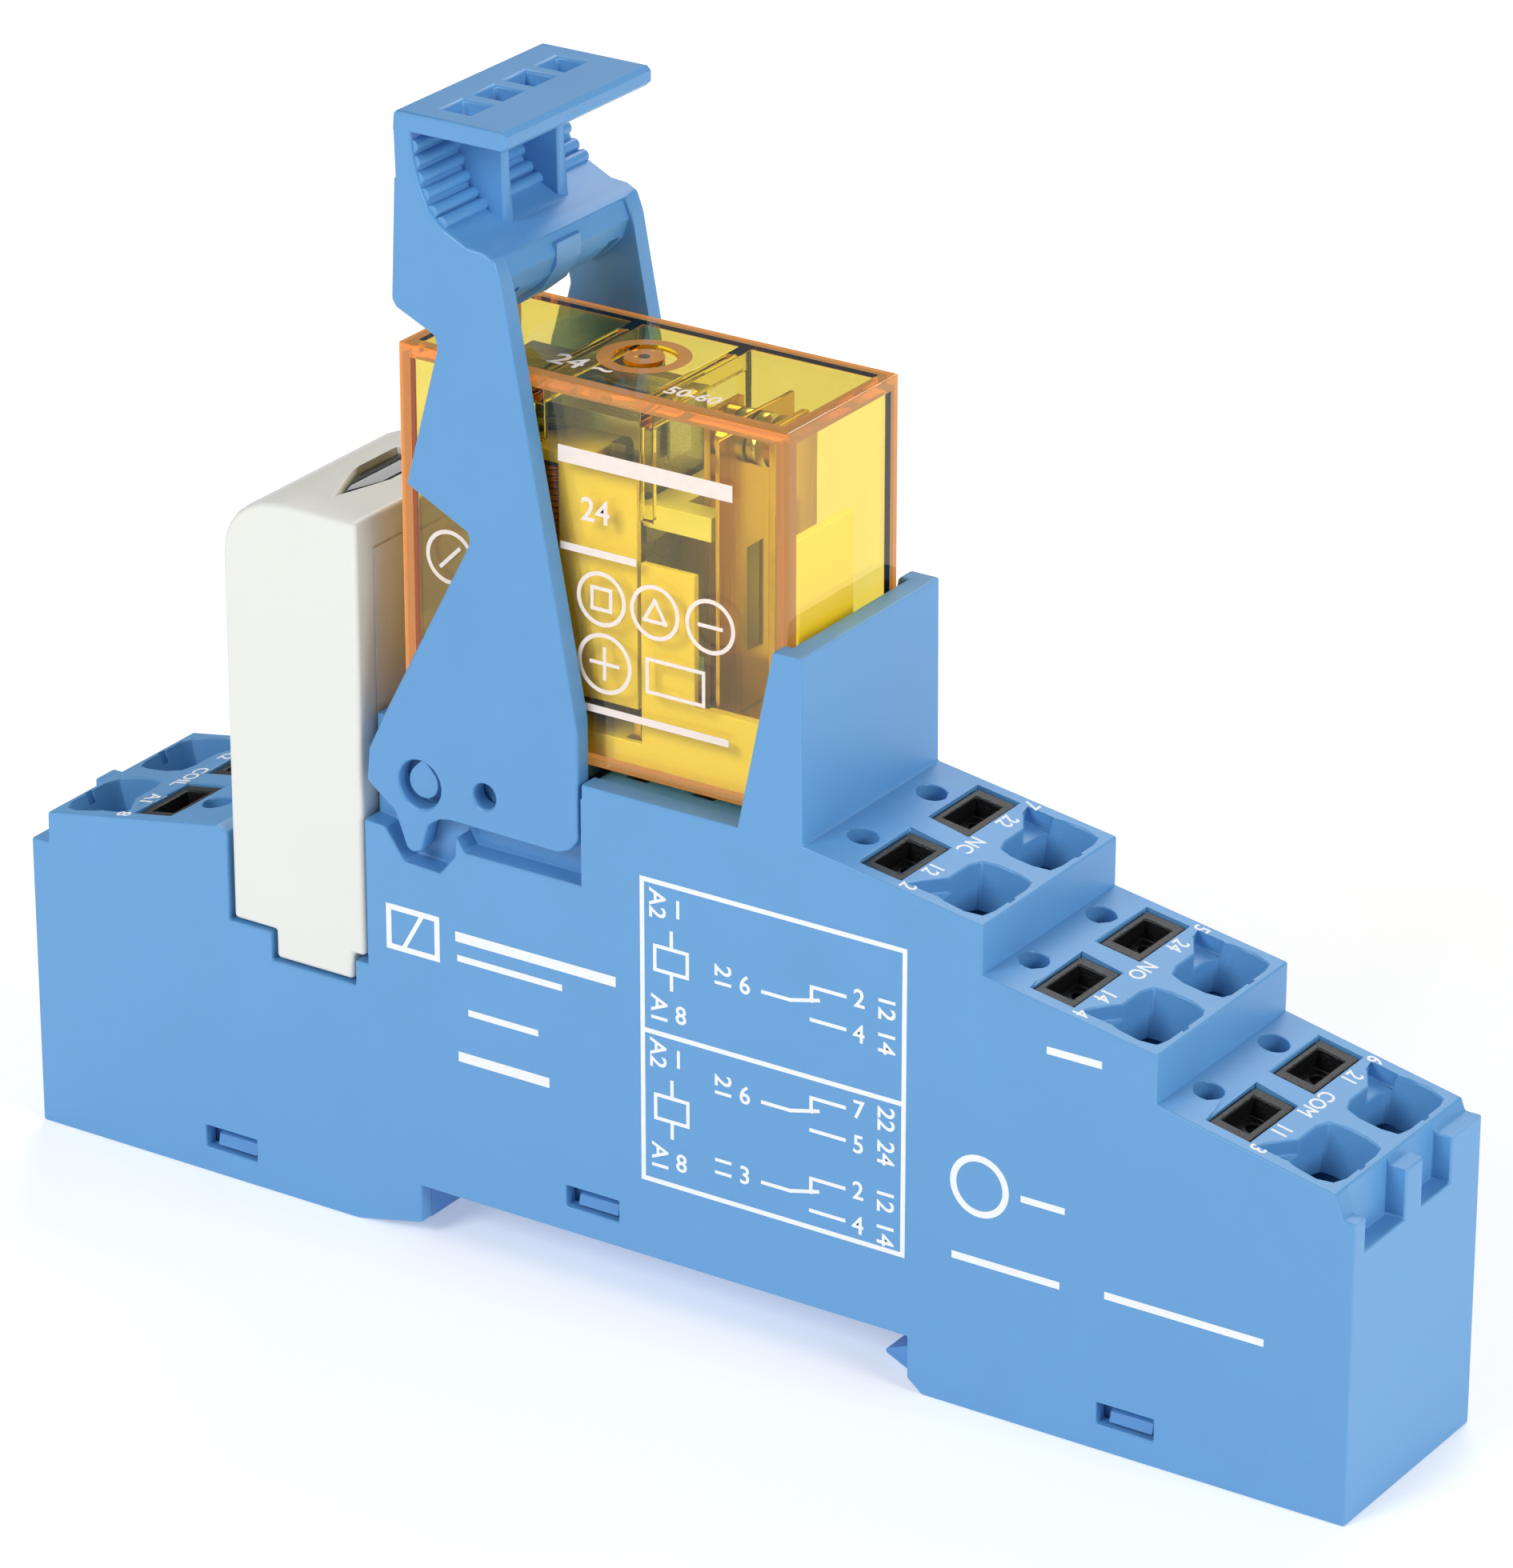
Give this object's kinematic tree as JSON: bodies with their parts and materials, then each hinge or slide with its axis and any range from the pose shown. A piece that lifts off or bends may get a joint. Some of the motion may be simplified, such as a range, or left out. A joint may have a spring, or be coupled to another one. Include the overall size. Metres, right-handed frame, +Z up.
{
  "type": "plug-in relay",
  "caption": "Rail socket with stepped push-in terminals, a clear amber plug-in relay under a swinging retaining and ejecting clip, and a plug-in indicator module.",
  "frame": {"origin": "centre of the bounding box on the base face", "axes": "+X along the socket towards the stepped output terminals, +Y across its width towards the back face, +Z up, away from the rail"},
  "size_m": [0.1002, 0.0158, 0.0774],
  "materials": {
    "blue_housing": "moulded glass-filled polyamide, satin",
    "blue_cover": "moulded polyamide, satin",
    "blue_clip": "moulded polyamide, smooth",
    "black_button": "moulded, fine grained",
    "white_case": "moulded, smooth satin",
    "smoke_lens": "clear smoke-tinted polycarbonate",
    "amber_clear": "clear amber polycarbonate, polished",
    "straw_plastic": "moulded polyester, straw coloured",
    "tinned_copper": "tin plated copper strip",
    "enamelled_copper": "enamelled copper wire, wound",
    "brass": "rolled brass strip",
    "contact_silver": "silver alloy contact",
    "spring_steel": "rolled stainless spring steel",
    "soft_iron": "nickel plated soft iron",
    "board_green": "glass-epoxy board with green mask",
    "lamp_green": "moulded lamp body, clear"
  },
  "bodies": {
    "socket": {"housing": "blue_housing", "base_cover": "blue_cover", "rail_latch_spring": "spring_steel", "clamp_spring_a1": "spring_steel", "clamp_spring_a2": "spring_steel", "clamp_spring_12": "spring_steel", "clamp_spring_22": "spring_steel", "clamp_spring_14": "spring_steel", "clamp_spring_24": "spring_steel", "clamp_spring_11": "spring_steel", "clamp_spring_21": "spring_steel", "current_bar_a1": "tinned_copper", "current_bar_a2": "tinned_copper", "current_bar_12": "tinned_copper", "current_bar_22": "tinned_copper", "current_bar_14": "tinned_copper", "current_bar_24": "tinned_copper", "current_bar_11": "tinned_copper", "current_bar_21": "tinned_copper"},
    "clip": {"retaining_clip": "blue_clip"},
    "latch": {"rail_latch": "blue_cover"},
    "module": {"module_case": "white_case", "module_base": "white_case", "module_lens": "smoke_lens", "module_circuit_board": "board_green", "module_indicator_lamp": "lamp_green", "module_pin_a1": "tinned_copper", "module_pin_a2": "tinned_copper"},
    "relay": {"relay_cover": "amber_clear", "relay_base": "straw_plastic", "coil_pin_a1": "tinned_copper", "coil_pin_a2": "tinned_copper", "normally_closed_contact": "brass", "normally_open_contact": "brass", "common_terminal": "brass", "coil_bobbin": "straw_plastic", "coil_winding": "enamelled_copper", "coil_core": "soft_iron", "magnet_yoke": "soft_iron"},
    "armature": {"armature": "soft_iron", "armature_spring": "spring_steel"},
    "pusher": {"pusher": "white_case"},
    "blade": {"moving_contact_blade": "brass", "moving_contact_closed_side": "contact_silver", "moving_contact_open_side": "contact_silver"},
    "button_a1": {"push_button_a1": "black_button"},
    "button_a2": {"push_button_a2": "black_button"},
    "button_12": {"push_button_12": "black_button"},
    "button_22": {"push_button_22": "black_button"},
    "button_14": {"push_button_14": "black_button"},
    "button_24": {"push_button_24": "black_button"},
    "button_11": {"push_button_11": "black_button"},
    "button_21": {"push_button_21": "black_button"}
  },
  "joints": [
    {"name": "clip_swing", "type": "hinge", "parent": "socket", "child": "clip", "pos_m": [-0.0182, 0, 0.0325], "axis": [0, 1, 0], "range_deg": [-26, 0]},
    {"name": "relay_lift", "type": "slide", "parent": "socket", "child": "relay", "axis": [0, 0, 1], "range_m": [0, 0.0048]},
    {"name": "module_unplug", "type": "slide", "parent": "socket", "child": "module", "axis": [0, 0, 1], "range_m": [0, 0.012]},
    {"name": "rail_latch_slide", "type": "slide", "parent": "socket", "child": "latch", "axis": [1, 0, 0], "range_m": [0, 0.0017], "stiffness_N_per_m": 400, "springref_m": -0.001, "deforming": ["rail_latch_spring"]},
    {"name": "armature_tilt", "type": "hinge", "parent": "relay", "child": "armature", "pos_m": [-0.00485, 0, 0.05735], "axis": [0, -1, 0], "range_deg": [0, 5.6], "stiffness_Nm_per_rad": 0.01, "springref_deg": -2.86},
    {"name": "pusher_slide", "type": "slide", "parent": "relay", "child": "pusher", "axis": [1, 0, 0], "range_m": [0, 0.00045]},
    {"name": "blade_bend", "type": "hinge", "parent": "relay", "child": "blade", "pos_m": [0.0023, 0, 0.04055], "axis": [0, 1, 0], "range_deg": [0, 2]},
    {"name": "press_a1", "type": "slide", "parent": "socket", "child": "button_a1", "axis": [0.1752, 0, -0.9845], "range_m": [0, 0.0015], "stiffness_N_per_m": 400, "springref_m": -0.0005, "deforming": ["clamp_spring_a1"]},
    {"name": "press_a2", "type": "slide", "parent": "socket", "child": "button_a2", "axis": [0.1752, 0, -0.9845], "range_m": [0, 0.0015], "stiffness_N_per_m": 400, "springref_m": -0.0005, "deforming": ["clamp_spring_a2"]},
    {"name": "press_12", "type": "slide", "parent": "socket", "child": "button_12", "axis": [-0.1509, 0, -0.9885], "range_m": [0, 0.0015], "stiffness_N_per_m": 400, "springref_m": -0.0005, "deforming": ["clamp_spring_12"]},
    {"name": "press_22", "type": "slide", "parent": "socket", "child": "button_22", "axis": [-0.1509, 0, -0.9885], "range_m": [0, 0.0015], "stiffness_N_per_m": 400, "springref_m": -0.0005, "deforming": ["clamp_spring_22"]},
    {"name": "press_14", "type": "slide", "parent": "socket", "child": "button_14", "axis": [-0.167, 0, -0.986], "range_m": [0, 0.0015], "stiffness_N_per_m": 400, "springref_m": -0.0005, "deforming": ["clamp_spring_14"]},
    {"name": "press_24", "type": "slide", "parent": "socket", "child": "button_24", "axis": [-0.167, 0, -0.986], "range_m": [0, 0.0015], "stiffness_N_per_m": 400, "springref_m": -0.0005, "deforming": ["clamp_spring_24"]},
    {"name": "press_11", "type": "slide", "parent": "socket", "child": "button_11", "axis": [-0.2052, 0, -0.9787], "range_m": [0, 0.0015], "stiffness_N_per_m": 400, "springref_m": -0.0005, "deforming": ["clamp_spring_11"]},
    {"name": "press_21", "type": "slide", "parent": "socket", "child": "button_21", "axis": [-0.2052, 0, -0.9787], "range_m": [0, 0.0015], "stiffness_N_per_m": 400, "springref_m": -0.0005, "deforming": ["clamp_spring_21"]}
  ],
  "couplings": [
    {"joint": "relay_lift", "follows": "clip_swing", "m_per_rad": -0.01},
    {"joint": "pusher_slide", "follows": "armature_tilt", "m_per_rad": 0.0042},
    {"joint": "blade_bend", "follows": "armature_tilt", "ratio": 0.333}
  ]
}
